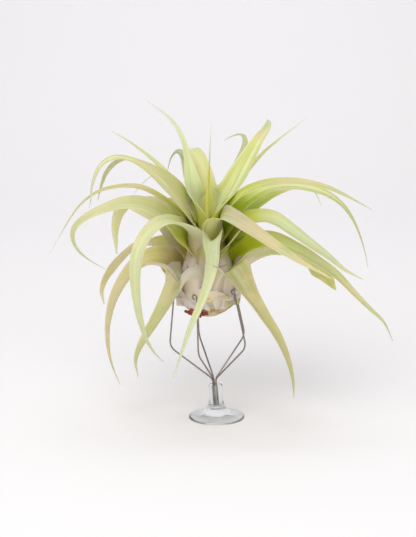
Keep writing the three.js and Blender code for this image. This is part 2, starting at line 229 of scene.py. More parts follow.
class Nodes:
    """Short calls for building one material's node tree."""

    def __init__(self, name):
        self.material = bpy.data.materials.new(name)
        self.material.use_nodes = True
        self.tree = self.material.node_tree
        self.shader = self.tree.nodes["Principled BSDF"]

    def put(self, socket, value):
        if isinstance(value, bpy.types.NodeSocket):
            self.tree.links.new(value, socket)
        elif hasattr(value, "__len__") and len(value) == 3 and socket.type == "RGBA":
            socket.default_value = (*value, 1.0)
        else:
            socket.default_value = value

    def add(self, kind, **values):
        node = self.tree.nodes.new(kind)
        for key, value in values.items():
            setattr(node, key, value)
        return node

    def surface(self, **values):
        for key, value in values.items():
            self.put(self.shader.inputs[key.replace("_", " ").title()], value)

    def uniform(self, **values):
        """Values that are the same all over, on the shader's own sockets."""
        for key, value in values.items():
            self.shader.inputs[key.replace("_", " ").title().replace("Ior", "IOR")].default_value = value

    def object_place(self):
        return self.add("ShaderNodeTexCoord").outputs["Object"]

    def uv_place(self):
        return self.add("ShaderNodeUVMap", uv_map="UVMap").outputs[0]

    def attribute(self, name):
        node = self.add("ShaderNodeAttribute", attribute_name=name)
        return node.outputs["Color"], node.outputs["Alpha"]

    def split(self, vector):
        node = self.add("ShaderNodeSeparateXYZ")
        self.put(node.inputs[0], vector)
        return node.outputs

    def joined(self, x, y, z):
        node = self.add("ShaderNodeCombineXYZ")
        for place, value in enumerate((x, y, z)):
            self.put(node.inputs[place], value)
        return node.outputs[0]

    def scaled(self, vector, scale):
        node = self.add("ShaderNodeMapping")
        self.put(node.inputs["Vector"], vector)
        node.inputs["Scale"].default_value = scale
        return node.outputs[0]

    def noise(self, vector, scale, detail=3.0, roughness=0.5):
        node = self.add("ShaderNodeTexNoise")
        self.put(node.inputs["Vector"], vector)
        node.inputs["Scale"].default_value = scale
        node.inputs["Detail"].default_value = detail
        node.inputs["Roughness"].default_value = roughness
        return node.outputs["Fac"]

    def math(self, operation, a, b=None):
        node = self.add("ShaderNodeMath", operation=operation)
        self.put(node.inputs[0], a)
        if b is not None:
            self.put(node.inputs[1], b)
        return node.outputs[0]

    def times(self, a, b):
        return self.math("MULTIPLY", a, b)

    def plus(self, a, b):
        return self.math("ADD", a, b)

    def minus(self, a, b):
        return self.math("SUBTRACT", a, b)

    def ramp(self, value, stops):
        node = self.add("ShaderNodeValToRGB")
        self.put(node.inputs[0], value)
        elements = node.color_ramp.elements
        while len(elements) < len(stops):
            elements.new(0.5)
        for element, (place, colour) in zip(elements, stops):
            element.position = place
            element.color = (*colour, 1.0)
        return node.outputs[0]

    def range(self, value, low, high, to_low=0.0, to_high=1.0):
        node = self.add("ShaderNodeMapRange", interpolation_type="SMOOTHSTEP")
        for place, item in enumerate((value, low, high, to_low, to_high)):
            self.put(node.inputs[place], item)
        return node.outputs[0]

    def mix(self, share, a, b):
        node = self.add("ShaderNodeMix", data_type="RGBA")
        self.put(node.inputs["Factor"], share)
        self.put(node.inputs[6], a)
        self.put(node.inputs[7], b)
        return node.outputs[2]

    def bump(self, height, strength, distance_mm):
        node = self.add("ShaderNodeBump")
        node.inputs["Strength"].default_value = strength
        node.inputs["Distance"].default_value = distance_mm * MM
        self.put(node.inputs["Height"], height)
        self.put(self.shader.inputs["Normal"], node.outputs[0])


def srgb(red, green, blue):
    """A colour as it looks on a screen, 0 to 255, turned to linear light."""
    out = []
    for value in (red, green, blue):
        v = value / 255.0
        out.append(v / 12.92 if v <= 0.04045 else ((v + 0.055) / 1.055) ** 2.4)
    return tuple(out)


# Colours that all leaves share
# The mouth green is partly the leaves' own fresh green and partly painted light: the glow through the leaf
# bases in the rosette's shaded heart.
MOUTH_GREEN = srgb(204, 192, 24)
FRESH_FOOT = srgb(222, 210, 160)
FRESH_UNDER = srgb(198, 196, 92)
PAPER_HIGH = srgb(222, 194, 164)
PAPER_LOW = srgb(230, 216, 192)
PAPER_FOOT_HIGH = srgb(208, 178, 148)
PAPER_FOOT_LOW = srgb(236, 224, 200)
VEIN_PALE = srgb(218, 226, 190)
BLOTCH_TAN = srgb(206, 182, 152)
DRY_TAN = srgb(202, 182, 150)
# Mint is partly the leaf's own pale tone and partly a painted highlight.
MINT = srgb(202, 222, 176)
TAN = srgb(202, 186, 138)
SCURF_PALE = srgb(224, 228, 206)
SHEEN_WHITE = srgb(245, 246, 235)

# Ranges in a leaf's skin: the two values that each runs between, and how much it shows at them. The height
# in LOW_DOWN is in metres.
LOW_DOWN = (0.128, 0.142, 1.0, 0.0)
BLOOM = (0.25, 0.7, 0.05, 1.0)
MARGIN_BLOOM = (0.4, 1.0, 0.0, 0.5)
FRESH_TURNS = (0.0, 0.2)
PAPER_TURNS = (0.02, 0.2)
PAPER_WHERE_DRY = (0.1, 0.5)
UNDER_TURNS = (0.28, 0.6)
PAPER_ENDS = (0.3, 0.7, 0.7, 0.0)
TIP_TURNS = (0.5, 1.0, 0.0, 0.9)
# The pale and dark bands are random streaks, partly the leaf's own and partly painted highlights and painted
# shade.
PALE_BANDS = (0.5, 0.64, 0.0, 0.65)
DARK_BANDS = (0.36, 0.48, 0.5, 0.0)
PALE_VEINS = (0.42, 0.72, 0.0, 0.2)
TAN_BLOTCHES = (0.48, 0.64, 0.0, 0.62)
DRY_ALONG = (0.1, 0.5, 0.1, 0.8)
MINT_TONE = (0.45, 0.0, 0.0, 0.5)
TAN_TONE = (0.55, 1.0, 0.0, 0.45)
RIM = (0.82, 1.0, 0.0, 0.7)
RIM_IN_BANDS = (0.3, 0.7, 0.35, 1.0)
SCURF = (0.5, 0.7, 0.0, 0.16)
LEAF_ROUGHNESS = (0.2, 0.8, 0.42, 0.62)


def leaf_material(name, deep, young, blade, tip, margin, under, pale, dark):
    """Skin of a leaf. UV runs across and along it; leaf_data holds underside, tone, dryness and distance."""
    n = Nodes(name)
    uv = n.uv_place()
    across, along, _ = n.split(uv)
    packed, reach = n.attribute("leaf_data")
    side, tone, dry = n.split(packed)
    place = n.object_place()
    blotch = n.noise(place, 34.0, 2.0)
    veins = n.noise(n.scaled(uv, (46.0, 1.6, 1.0)), 1.0, 4.0, 0.62)
    own = n.joined(n.plus(across, tone), along, tone)
    bands = n.noise(n.scaled(own, (4.2, 1.1, 9.0)), 1.0, 2.0, 0.4)
    scurf = n.noise(place, 1500.0, 2.0)
    edge = n.math("ABSOLUTE", n.minus(n.times(across, 2.0), 1.0))
    shifted = n.plus(reach, n.times(n.minus(blotch, 0.5), 0.16))
    bloom = n.range(reach, *BLOOM)
    low_down = n.range(n.split(place)[2], *LOW_DOWN)

    # The mouth green and the deep foot colour are partly the leaf's own base green and partly painted shade
    # and glow, saturated where the rosette's hollow lies in shade.
    upper = n.ramp(shifted, [(0.0, MOUTH_GREEN), (0.1, deep), (0.42, deep), (0.6, young), (0.88, blade)])
    upper = n.mix(n.times(bloom, n.range(edge, *MARGIN_BLOOM)), upper, blade)

    fresh = n.mix(n.range(shifted, *FRESH_TURNS), FRESH_FOOT, FRESH_UNDER)
    paper_foot = n.mix(low_down, PAPER_FOOT_HIGH, PAPER_FOOT_LOW)
    paper = n.mix(n.range(shifted, *PAPER_TURNS), paper_foot, n.mix(low_down, PAPER_HIGH, PAPER_LOW))
    lower = n.mix(n.math("MAXIMUM", n.range(dry, *PAPER_WHERE_DRY), low_down), fresh, paper)
    lower = n.mix(n.range(shifted, *UNDER_TURNS), lower, under)
    lower = n.mix(n.times(low_down, n.range(shifted, *PAPER_ENDS)), lower, paper)

    colour = n.mix(side, upper, lower)
    colour = n.mix(n.range(along, *TIP_TURNS), colour, tip)
    # Pale bands: partly the leaf's own streaks, partly painted highlights. Dark bands: partly its own
    # streaks, partly painted shade.
    colour = n.mix(n.times(bloom, n.range(bands, *PALE_BANDS)), colour, pale)
    colour = n.mix(n.range(bands, *DARK_BANDS), colour, dark)
    colour = n.mix(n.times(bloom, n.range(veins, *PALE_VEINS)), colour, VEIN_PALE)
    colour = n.mix(n.times(bloom, n.range(blotch, *TAN_BLOTCHES)), colour, BLOTCH_TAN)
    colour = n.mix(n.times(dry, n.range(along, *DRY_ALONG)), colour, DRY_TAN)
    # The mint tone: partly the leaf's own colour, partly a painted highlight.
    colour = n.mix(n.times(bloom, n.range(tone, *MINT_TONE)), colour, MINT)
    colour = n.mix(n.times(bloom, n.range(tone, *TAN_TONE)), colour, TAN)
    colour = n.mix(n.times(n.range(edge, *RIM), n.range(bands, *RIM_IN_BANDS)), colour, margin)
    colour = n.mix(n.times(bloom, n.range(scurf, *SCURF)), colour, SCURF_PALE)
    n.surface(base_color=colour, roughness=n.range(veins, *LEAF_ROUGHNESS))
    n.uniform(subsurface_weight=0.6, subsurface_radius=(0.9, 1.0, 0.2), subsurface_scale=0.007,
              sheen_weight=0.06, sheen_roughness=0.45, sheen_tint=(*SHEEN_WHITE, 1.0),
              specular_ior_level=0.32)
    n.bump(n.plus(veins, n.times(scurf, 0.25)), 0.35, 0.35)
    return n.material


# Colours of the dry sheaths, from the bulb's bottom up
SHEATH_COLOURS = [
    (0.0, srgb(202, 182, 112)), (0.2, srgb(222, 206, 146)), (0.38, srgb(234, 222, 200)),
    (0.62, srgb(226, 204, 182)), (1.0, srgb(204, 172, 142)),
]
SHEATH_PINK = srgb(228, 208, 200)
SHEATH_VEIN = srgb(206, 194, 156)
CRACK_BROWN = srgb(158, 108, 66)
TORN_BROWN = srgb(168, 122, 86)

# Ranges in the sheaths' skin. The first two are heights in metres.
SHEATH_SPAN = (0.086, 0.15)
CRACKED_LOW = (0.088, 0.118, 1.0, 0.15)
PINK_BLOTCHES = (0.45, 0.68, 0.0, 0.6)
SHEATH_VEINS = (0.55, 0.75, 0.0, 0.4)
CRACKS = (0.5, 0.56, 0.0, 0.8)
TORN_EDGE = (0.95, 1.0, 0.0, 0.7)


def sheath_material():
    """Dry sheath skin: cream and pinkish, with brown torn edges and, low down, brown cracks."""
    n = Nodes("sheath_skin")
    uv = n.uv_place()
    along = n.split(uv)[1]
    place = n.object_place()
    height = n.split(place)[2]
    blotch = n.noise(place, 70.0, 3.0)
    veins = n.noise(n.scaled(uv, (60.0, 2.2, 1.0)), 1.0, 4.0, 0.6)
    crack = n.noise(n.scaled(place, (90.0, 90.0, 190.0)), 1.0, 6.0, 0.7)
    low = n.range(height, *CRACKED_LOW)
    torn = n.plus(along, n.times(n.minus(crack, 0.5), 0.3))
    colour = n.ramp(n.range(height, *SHEATH_SPAN), SHEATH_COLOURS)
    colour = n.mix(n.range(blotch, *PINK_BLOTCHES), colour, SHEATH_PINK)
    colour = n.mix(n.range(veins, *SHEATH_VEINS), colour, SHEATH_VEIN)
    colour = n.mix(n.times(low, n.range(crack, *CRACKS)), colour, CRACK_BROWN)
    colour = n.mix(n.range(torn, *TORN_EDGE), colour, TORN_BROWN)
    n.surface(base_color=colour, roughness=0.5)
    n.uniform(subsurface_weight=0.3, subsurface_radius=(1.0, 0.8, 0.5), subsurface_scale=0.0018)
    n.bump(n.plus(veins, n.times(crack, 0.8)), 0.45, 0.6)
    return n.material


def root_material():
    n = Nodes("root_bark")
    grain = n.noise(n.object_place(), 420.0, 6.0, 0.65)
    colour = n.ramp(grain, [(0.25, srgb(62, 26, 18)), (0.5, srgb(140, 60, 38)), (0.75, srgb(188, 108, 76))])
    n.surface(base_color=colour, roughness=0.85)
    n.bump(grain, 0.7, 0.8)
    return n.material


def withered_tip_material():
    n = Nodes("withered_tip_skin")
    patches = n.noise(n.object_place(), 300.0, 2.0)
    colour = n.ramp(patches, [(0.3, srgb(190, 178, 140)), (0.7, srgb(210, 200, 168))])
    n.surface(base_color=colour, roughness=0.7)
    return n.material


def wire_material():
    n = Nodes("drawn_wire")
    lines = n.noise(n.scaled(n.object_place(), (2600.0, 2600.0, 220.0)), 1.0, 3.0)
    colour = n.ramp(lines, [(0.3, srgb(120, 110, 102)), (0.7, srgb(160, 152, 146))])
    n.surface(base_color=colour, metallic=1.0, roughness=n.range(lines, 0.3, 0.7, 0.24, 0.40))
    n.bump(lines, 0.15, 0.05)
    return n.material


def clear_material():
    n = Nodes("clear_plastic_skin")
    haze = n.noise(n.object_place(), 90.0, 3.0)
    colour = n.ramp(haze, [(0.3, (0.93, 0.95, 0.96)), (0.7, (0.97, 0.98, 0.985))])
    n.surface(base_color=colour, roughness=n.range(haze, 0.3, 0.7, 0.05, 0.16))
    n.uniform(transmission_weight=0.9, ior=1.22)
    n.bump(haze, 0.1, 0.3)
    return n.material


# The colours of each kind of leaf: foot, young, blade, tip, margin, underside, pale bands and dark bands.
# The foot colour is partly the leaf's own base green and partly painted shade and glow of the rosette's
# hollow. The pale and dark bands are partly the leaf's own streaks and partly painted highlights and painted
# shade.
LEAF_COLOURS = {
    "young_leaf_skin": [(178, 200, 0), (180, 198, 66), (174, 178, 122), (144, 148, 130),
                        (212, 190, 138), (186, 194, 122), (214, 230, 176), (146, 156, 40)],
    "leaf_skin": [(174, 184, 0), (170, 178, 68), (172, 168, 130), (146, 140, 124),
                  (204, 184, 148), (186, 182, 148), (194, 208, 170), (144, 144, 64)],
    "old_leaf_skin": [(158, 148, 8), (166, 156, 86), (176, 162, 134), (158, 144, 130),
                      (200, 180, 156), (192, 180, 164), (194, 190, 164), (144, 126, 82)],
    "withered_leaf_skin": [(146, 158, 108), (150, 162, 130), (148, 156, 140), (128, 134, 126),
                           (154, 154, 138), (156, 162, 148), (168, 176, 162), (126, 132, 110)],
    "spike_leaf_skin": [(184, 176, 30), (196, 186, 84), (196, 190, 112), (180, 168, 134),
                        (204, 170, 104), (190, 180, 90), (212, 206, 136), (160, 136, 56)],
    "shaded_leaf_skin": [(148, 172, 0), (146, 170, 14), (158, 174, 70), (84, 100, 24),
                         (188, 184, 112), (190, 192, 150), (168, 186, 84), (128, 150, 20)],
    # The crown skin is brighter all over: painted light on the upright crown leaves, which get less light
    # from above.
    "crown_painted_light_skin": [(206, 226, 14), (206, 226, 98), (206, 218, 150), (164, 170, 152),
                        (222, 206, 150), (204, 214, 148), (224, 240, 198), (168, 174, 70)],
    # The hanging skin is darker and greyer: partly the hanging leaves' own grey-green, partly painted shade.
    "hanging_leaf_skin": [(142, 156, 6), (146, 152, 76), (150, 150, 114), (138, 132, 116),
                          (188, 170, 136), (164, 158, 132), (172, 186, 152), (134, 128, 88)],
}
LEAF_SKINS = {
    name: leaf_material(name, *(srgb(*colour) for colour in colours))
    for name, colours in LEAF_COLOURS.items()
}
SHEATH = sheath_material()
ROOT = root_material()
WITHERED_TIP_SKIN = withered_tip_material()
WIRE = wire_material()
CLEAR = clear_material()


# The bulb's form

# Its height and radius, from its bottom up
BULB_PROFILE = [
    (85, 3), (87, 7), (90, 12), (94, 17), (98, 21), (103, 23.6), (108, 24), (114, 22.4), (120, 20.2),
    (127, 17.6), (134, 15.4), (142, 12.8), (149, 10), (155, 7.4), (160, 4.8), (163, 2.6),
]
PROFILE_HEIGHTS = [z for z, _ in BULB_PROFILE]
PROFILE_RADII = [r for _, r in BULB_PROFILE]
BULB_WIDEST = 24.0


def bulb_radius(z):
    return np.interp(z, PROFILE_HEIGHTS, PROFILE_RADII)


# The leaves

# Each leaf has its name, age, direction, seat height, widest chord, channel depth and roll, and then its
# route: the distance out from the plant's axis, the height and, where there is one, a sideways step.
LEAVES = [
    ("leaf_hang_right", "blade", 44, 112, 33, 0.42, 0,
     [(28, 123, -8), (32, 128, -8), (37, 124, -7), (47, 112, -5), (62, 96, -2), (76, 82), (87, 67), (93, 52),
      (95, 37)]),
    ("leaf_hang_left", "blade", -50, 110, 26, 0.5, 12,
     [(25.5, 117, 5.5), (27, 121, 6), (31, 118, 5), (39, 107, 3), (52, 90), (66, 75), (73, 62), (71, 47)]),
    ("leaf_side_right", "blade", 102, 112, 27, 0.6, 12,
     [(31, 123), (44, 131), (58, 133), (75, 128), (93, 117), (107, 101)]),
    ("leaf_side_left", "old", -118, 112, 22, 0.45, -8,
     [(31, 127), (46, 137), (62, 136), (80, 124), (94, 108), (100, 95), (98, 83)]),
    ("leaf_side_front", "old", -84, 109, 23, 0.45, 25,
     [(30, 121), (39, 128), (49, 129), (59, 123), (69, 111), (76, 97), (80, 79), (80, 61), (77, 45),
      (71, 29)]),
    ("leaf_low_right", "blade", 76, 123, 23, 0.45, -20,
     [(25, 134), (36, 144), (52, 147), (71, 142), (87, 134), (103, 124), (118, 110), (131, 98), (142, 88),
      (149, 74)]),
    ("leaf_hang_front", "blade", 0, 131, 15, 0.6, 0,
     [(20, 145, 1), (25, 151, 2), (30, 149, 2), (36, 138, 3), (44, 123, 0), (52, 105, -7), (60, 87, -15),
      (65, 70, -21), (68, 52, -27)]),
    ("leaf_mid_right", "blade", 70, 136, 27, 0.4, -20,
     [(20, 149), (31, 162), (45, 167), (56, 166), (69, 159), (84, 150), (100, 140), (113, 131), (127, 125)]),
    ("leaf_arch_right_3", "young", 124, 139, 28, 0.5, -35,
     [(20, 155), (33, 168), (50, 176), (70, 182), (90, 183), (106, 176), (114, 164)]),
    ("leaf_arch_left_5", "old", -136, 135, 37, 0.4, 48,
     [(22, 149), (38, 159), (68, 164), (91, 164), (106, 157), (113, 142), (112, 119)]),
    ("leaf_arch_left_4", "blade", -82, 137, 23, 0.35, 35,
     [(20, 151), (33, 165), (48, 175), (66, 178), (86, 173), (101, 165), (107, 156), (105, 145), (96, 135),
      (82, 126)]),
    ("leaf_front_left", "blade", -38, 138, 19, 0.5, 10,
     [(19, 151), (30, 162), (46, 168), (62, 168), (75, 162), (84, 152), (88, 138), (88, 122), (84, 101),
      (76, 81), (66, 68), (56, 59)]),
    ("leaf_front_right", "blade", 44, 146, 20, 0.55, -10,
     [(14, 157, -3), (19, 167, -5), (29, 169, -5), (46, 163, -2), (70, 154), (99, 145), (120, 140),
      (132, 137)]),
    ("leaf_arch_right_2", "young", 98, 146, 19, 0.4, -30,
     [(17, 161), (29, 175), (46, 186), (64, 189), (80, 187), (95, 182), (107, 174), (116, 163), (123, 149),
      (128, 134), (131, 121)]),
    ("leaf_arch_left_3", "young", -97, 146, 10, 0.5, 10,
     [(16, 158), (26, 170), (40, 181), (56, 188), (74, 188), (90, 183), (103, 173), (112, 161), (121, 146),
      (129, 132)]),
    ("leaf_arch_left_1", "young", -62, 149, 35, 0.3, 45,
     [(14, 163), (27, 182), (43, 200), (62, 214), (79, 219), (92, 214), (99, 201), (101, 188), (102, 181)]),
    ("leaf_arch_left_2", "young", -130, 147, 12, 0.4, 10,
     [(17, 162), (34, 180), (57, 195), (80, 203), (97, 201), (110, 191), (117, 178), (121, 166)]),
    ("leaf_arch_right_1", "young", 70, 152, 18, 0.35, -25,
     [(13, 168), (26, 183), (41, 192), (59, 197), (77, 198), (93, 196), (109, 191), (133, 180)]),
    ("leaf_slim_right", "young", 121, 152, 12, 0.6, -10,
     [(13, 167), (24, 184), (38, 200), (52, 213), (67, 223), (82, 232), (94, 239)]),
    ("leaf_hook_back", "young", 163, 152, 17, 0.4, 0,
     [(12, 166, -1), (28, 182, -6), (47, 200, -11), (63, 213, -12), (71, 220, -10), (74, 222.5, -5),
      (73, 220.5, 2), (71, 217, 8)]),
    ("leaf_slim_left", "young", -98, 151, 10, 0.5, 20,
     [(11, 162), (20, 180), (34, 200), (46, 212), (62, 224), (77, 233)]),
    ("leaf_hook_left", "young", -145, 151, 16, 0.4, 20,
     [(12, 165), (21, 182), (27.5, 198, 0.5), (33, 210.5, 1), (38, 214, 3.5), (42, 208, 7), (44, 195, 10)]),
    ("leaf_tall_left", "young", -98, 158, 26, 0.45, 60,
     [(9, 171), (12.5, 186), (15, 203), (17.5, 218), (21, 230), (27, 240), (35, 248), (48, 257)]),
    ("leaf_tall_back", "young", -161, 157, 25, 0.4, 0,
     [(8, 170), (12, 185), (19, 199), (30, 209.5), (45, 214, -1), (60, 210, -4), (74, 198, -10),
      (84, 182, -16)]),
    ("leaf_tall_right", "young", 108, 158, 24, 0.5, -50,
     [(9, 169), (12.5, 175), (19, 186), (26, 199), (33.5, 212), (41.5, 225), (50, 233, 5), (56, 237, 15),
      (60, 238, 28)]),
    ("leaf_spike", "young", 90, 158, 8, 0.8, 0,
     [(0.6, 163.4), (0.6, 172), (0.8, 188), (1.4, 206), (1.8, 224), (2.6, 241)]),
]

# The leaves behind, tier by tier: directions, seat height, width, rise, reach and height of the tip
BACK_TIERS = [
    ((144, -168), 111, 21, 23, 88, 121),
    ((154, -156), 124, 20, 26, 92, 128),
    ((178,), 138, 19, 32, 94, 148),
    ((-171,), 147, 15, 36, 88, 168),
]

# Their route: shares of the way out and of the rise, and then how far out they hang halfway to the tip
BACK_ROUTE = [(0.07, 0.5), (0.2, 0.85), (0.4, 1.0), (0.65, 0.8)]
BACK_HANG = 0.88
BACK_SEAT_GAP = 0.9
BACK_CHANNEL = 0.6


def back_leaves():
    """The leaves behind, which close the rosette."""
    leaves = []
    for directions, seat, width, rise, reach, tip in BACK_TIERS:
        start = float(bulb_radius(seat)) + BACK_SEAT_GAP
        across = reach - start
        route = [(start + out * across, seat + high * rise) for out, high in BACK_ROUTE]
        route += [(start + BACK_HANG * across, (route[-1][1] + tip) / 2), (reach, tip)]
        for toward in directions:
            name = f"leaf_back_{len(leaves) + 1}"
            leaves.append((name, "blade", toward, seat, width, BACK_CHANNEL, 0, route))
    return leaves


# The usual skin, slot and dryness of each age of leaf
AGES = {
    "young": ("young_leaf_skin", "young_leaf", 0.04),
    "blade": ("leaf_skin", "leaf", 0.2),
    "old": ("old_leaf_skin", "old_leaf", 0.6),
}

# The leaves that have a skin of their own
OWN_SKINS = {
    "withered_leaf_skin": ("leaf_hook_back", "leaf_hook_left", "leaf_arch_left_2"),
    "spike_leaf_skin": ("leaf_spike",),
    "shaded_leaf_skin": ("leaf_arch_right_3", "leaf_side_right"),
    # The upright crown leaves wear a brighter copy of the leaf skin: painted light.
    "crown_painted_light_skin": (
        "leaf_tall_left", "leaf_tall_right", "leaf_tall_back", "leaf_slim_left", "leaf_slim_right",
    ),
    # The hanging leaves wear a darker copy of the leaf skin: partly their own grey-green, partly painted
    # shade.
    "hanging_leaf_skin": ("leaf_hang_left", "leaf_hang_right"),
}
SKIN_OF = {leaf: skin for skin, leaves in OWN_SKINS.items() for leaf in leaves}

# Raised horns of the margins where a leaf bends over its own sheath: distance past the seat, height, length
HORNS = {
    "leaf_hang_right": (18, 8, 8), "leaf_hang_left": (13, 12, 7), "leaf_hang_front": (21, 5, 5),
}

# The deeper gutter of a leaf where it leaves the bulb: distance past the seat, added depth, length
GUTTERS = {
    "leaf_hang_right": (18, -0.36, 10), "leaf_hang_left": (13, -0.42, 9), "leaf_hang_front": (20, 0.3, 9),
    "leaf_side_front": (20, 0.45, 22), "leaf_side_left": (24, 0.35, 24), "leaf_low_right": (22, 0.15, 22),
}
NO_SWELL = (0, 0, 1)

# Degrees that a leaf is turned about its own length where it leaves the bulb
BASE_ROLL = {
    "leaf_side_left": 48, "leaf_side_front": 25, "leaf_front_left": 22, "leaf_arch_left_4": 42,
    "leaf_arch_left_5": 52, "leaf_arch_left_1": 34, "leaf_low_right": -42, "leaf_mid_right": -35,
    "leaf_side_right": 14, "leaf_arch_right_3": -42, "leaf_arch_right_1": -25, "leaf_arch_right_2": -30,
    "leaf_hang_right": -20, "leaf_front_right": -12,
}

# Degrees that a hanging blade is turned about its own length past its bend, where it isn't its roll
END_ROLL = {
    "leaf_arch_left_5": -35, "leaf_side_left": -25, "leaf_arch_left_2": -25, "leaf_side_right": -45,
}

# Degrees round the bulb from a leaf's direction to its seat, where it turns aside as it leaves the bulb
SEAT_TURN = {"leaf_hang_right": -17, "leaf_hang_left": 13}

# Degrees that a sheath reaches round the bulb to each side, where it isn't the usual angle
USUAL_CLASP = 75.0
CLASP = {"leaf_hang_front": 46, "leaf_hang_left": 44, "leaf_hang_right": 44, "leaf_front_left": 84}

# Half the width of the sheath's mouth, where it isn't the usual share of the blade
USUAL_MOUTH = 0.72
LEAST_MOUTH = 0.5
SHEATH_MOUTH = {
    "leaf_front_left": 17, "leaf_hang_front": 9.5, "leaf_side_front": 17, "leaf_side_left": 16,
    "leaf_hang_right": 12.5, "leaf_hang_left": 11.5, "leaf_arch_left_4": 15, "leaf_front_right": 15,
    "leaf_low_right": 15, "leaf_arch_left_1": 15, "leaf_arch_left_5": 18,
}

# How soon past its seat a leaf is free of the bulb, where it isn't the usual distance
USUAL_FREE_AT = 22.0
FREE_AT = {"leaf_hang_left": 12, "leaf_hang_right": 17}

# How much narrower a blade gets, and the shares of its length that this starts and ends at
NOT_SLIM = (0, 0, 1)
SLIM = {
    "leaf_tall_left": (0.62, 0.15, 0.6), "leaf_slim_right": (0.45, 0.05, 0.5),
    "leaf_arch_left_1": (0.75, 0.25, 0.62), "leaf_hang_front": (0.2, 0.05, 0.6),
    "leaf_hang_left": (0.15, 0.05, 0.6), "leaf_arch_left_5": (0.3, 0.1, 0.6),
    "leaf_arch_left_4": (0.2, 0.3, 0.7),
}

# How late a blade narrows to its tip, where it isn't the usual power
USUAL_TAPER = 1.15
TAPER_POWER = {
    "leaf_arch_left_2": 2.2, "leaf_arch_left_3": 2.4, "leaf_slim_left": 1.8, "leaf_slim_right": 1.8,
    "leaf_side_left": 1.7, "leaf_arch_left_5": 1.5, "leaf_arch_left_1": 1.8, "leaf_side_right": 6.0,
}

# How dry a leaf is, where it isn't as dry as its age
DRY = {
    "leaf_hook_back": 0.0, "leaf_hook_left": 0.0, "leaf_spike": 0.1, "leaf_front_left": 0.4,
    "leaf_front_right": 0.05, "leaf_hang_front": 0.05, "leaf_mid_right": 0.05, "leaf_low_right": 0.1,
    "leaf_arch_left_1": 0.35, "leaf_arch_left_4": 0.4, "leaf_arch_left_3": 0.4, "leaf_arch_left_5": 0.8,
    "leaf_hang_right": 0.3,
}

# How far ahead of the others a leaf has lost its fresh green
PALE_BY = {
    "leaf_hang_front": 0.45, "leaf_hang_left": 0.5, "leaf_hang_right": 0.6, "leaf_tall_left": 0.28,
    "leaf_tall_right": 0.35, "leaf_tall_back": 0.15, "leaf_arch_left_1": 0.1, "leaf_front_right": 0.2,
    "leaf_front_left": 0.1, "leaf_slim_right": 0.2, "leaf_mid_right": -0.3, "leaf_low_right": -0.25,
    "leaf_arch_right_2": -0.2, "leaf_arch_right_1": -0.1, "leaf_arch_left_3": -0.1,
}

# How mint (0) or tan (1) a leaf looks, where it isn't left to its own chance. The mint end is partly the
# leaf's own tone and partly a painted highlight.
TONE = {
    "leaf_tall_left": 0.0, "leaf_tall_back": 0.85, "leaf_tall_right": 0.65, "leaf_mid_right": 0.1,
    "leaf_arch_right_1": 0.7, "leaf_arch_right_2": 0.3, "leaf_arch_right_3": 0.5, "leaf_hang_front": 0.0,
    "leaf_front_left": 0.1, "leaf_front_right": 0.4, "leaf_hang_left": 0.3, "leaf_hang_right": 0.7,
    "leaf_arch_left_1": 0.35, "leaf_arch_left_4": 0.2, "leaf_spike": 0.8, "leaf_slim_right": 0.75,
}

ROWS = 84
COLUMNS = 19
SPIKE = "leaf_spike"
SPIKE_DEPTH = 1.0
SHEATH_DEPTH = 17.0
SHEATH_DROOP = 8.0
INNERMOST_LIFT = 1.0
LIFT_RANGE = 1.2
FOOT_THICKNESS = 1.5
TIP_THICKNESS = 0.6
TIP_SLENDER = 0.965
LONG_WAVE = 0.02
SHORT_WAVE = 0.012
DEPTH_WAVE = 0.06
PALE_LENGTH = 85.0


def taper_at(share, power):
    """How wide a blade still is, at a share of its length."""
    return 1 - TIP_SLENDER * share ** power


def fold_at(share):
    """How much of its channel a blade still has, at a share of its length."""
    return 1 - 0.55 * smooth(share, 0.2, 0.7)


def channel_rise(t):
    """The height of a channel's section, at the share t of its half width."""
    return 0.55 * t * t + 0.45 * abs(t) ** 1.25


def channel_slope(t):
    """The slope of the section there."""
    return 1.1 * t + 0.56 * abs(t) ** 0.25 * np.sign(t)


def swell(past, middle, height, length):
    """A smooth swelling along a leaf."""
    return height * np.exp(-((past - middle) / length) ** 2)


def leaf_sides(name, roll, share, points, start_side):
    """The side and inner axis along a leaf, turned about its length as the leaf rolls."""
    sides, inners = frames_along(points, start_side)
    turned_over = smooth(share, 0.1, 0.42)
    hanging = smooth(share, 0.5, 0.75)
    blade_roll = blend(roll * turned_over, END_ROLL.get(name, roll), hanging)
    turn = np.radians(BASE_ROLL.get(name, 0) * (1 - turned_over) + blade_roll)[:, None]
    return sides * np.cos(turn) - inners * np.sin(turn), inners * np.cos(turn) + sides * np.sin(turn)


def leaf_half_width(name, width, share, past, radius, grown):
    """Half the width along a leaf: the sheath round the bulb, its mouth and then the blade."""
    slim, slim_start, slim_end = SLIM.get(name, NOT_SLIM)
    blade = width * taper_at(share, TAPER_POWER.get(name, USUAL_TAPER)) / 2
    blade = blade * (1 - slim * smooth(share, slim_start, slim_end))
    if name == SPIKE:
        return blade
    clasp = np.radians(CLASP.get(name, USUAL_CLASP)) * np.minimum(radius, BULB_WIDEST)
    mouth = max(SHEATH_MOUTH.get(name, USUAL_MOUTH * width), LEAST_MOUTH * width)
    sheath = blend(clasp * (0.6 + 0.4 * grown), mouth, np.interp(past, [-4, 9], [0, 1]))
    return blend(sheath, blade, smooth(past, 10, 36))


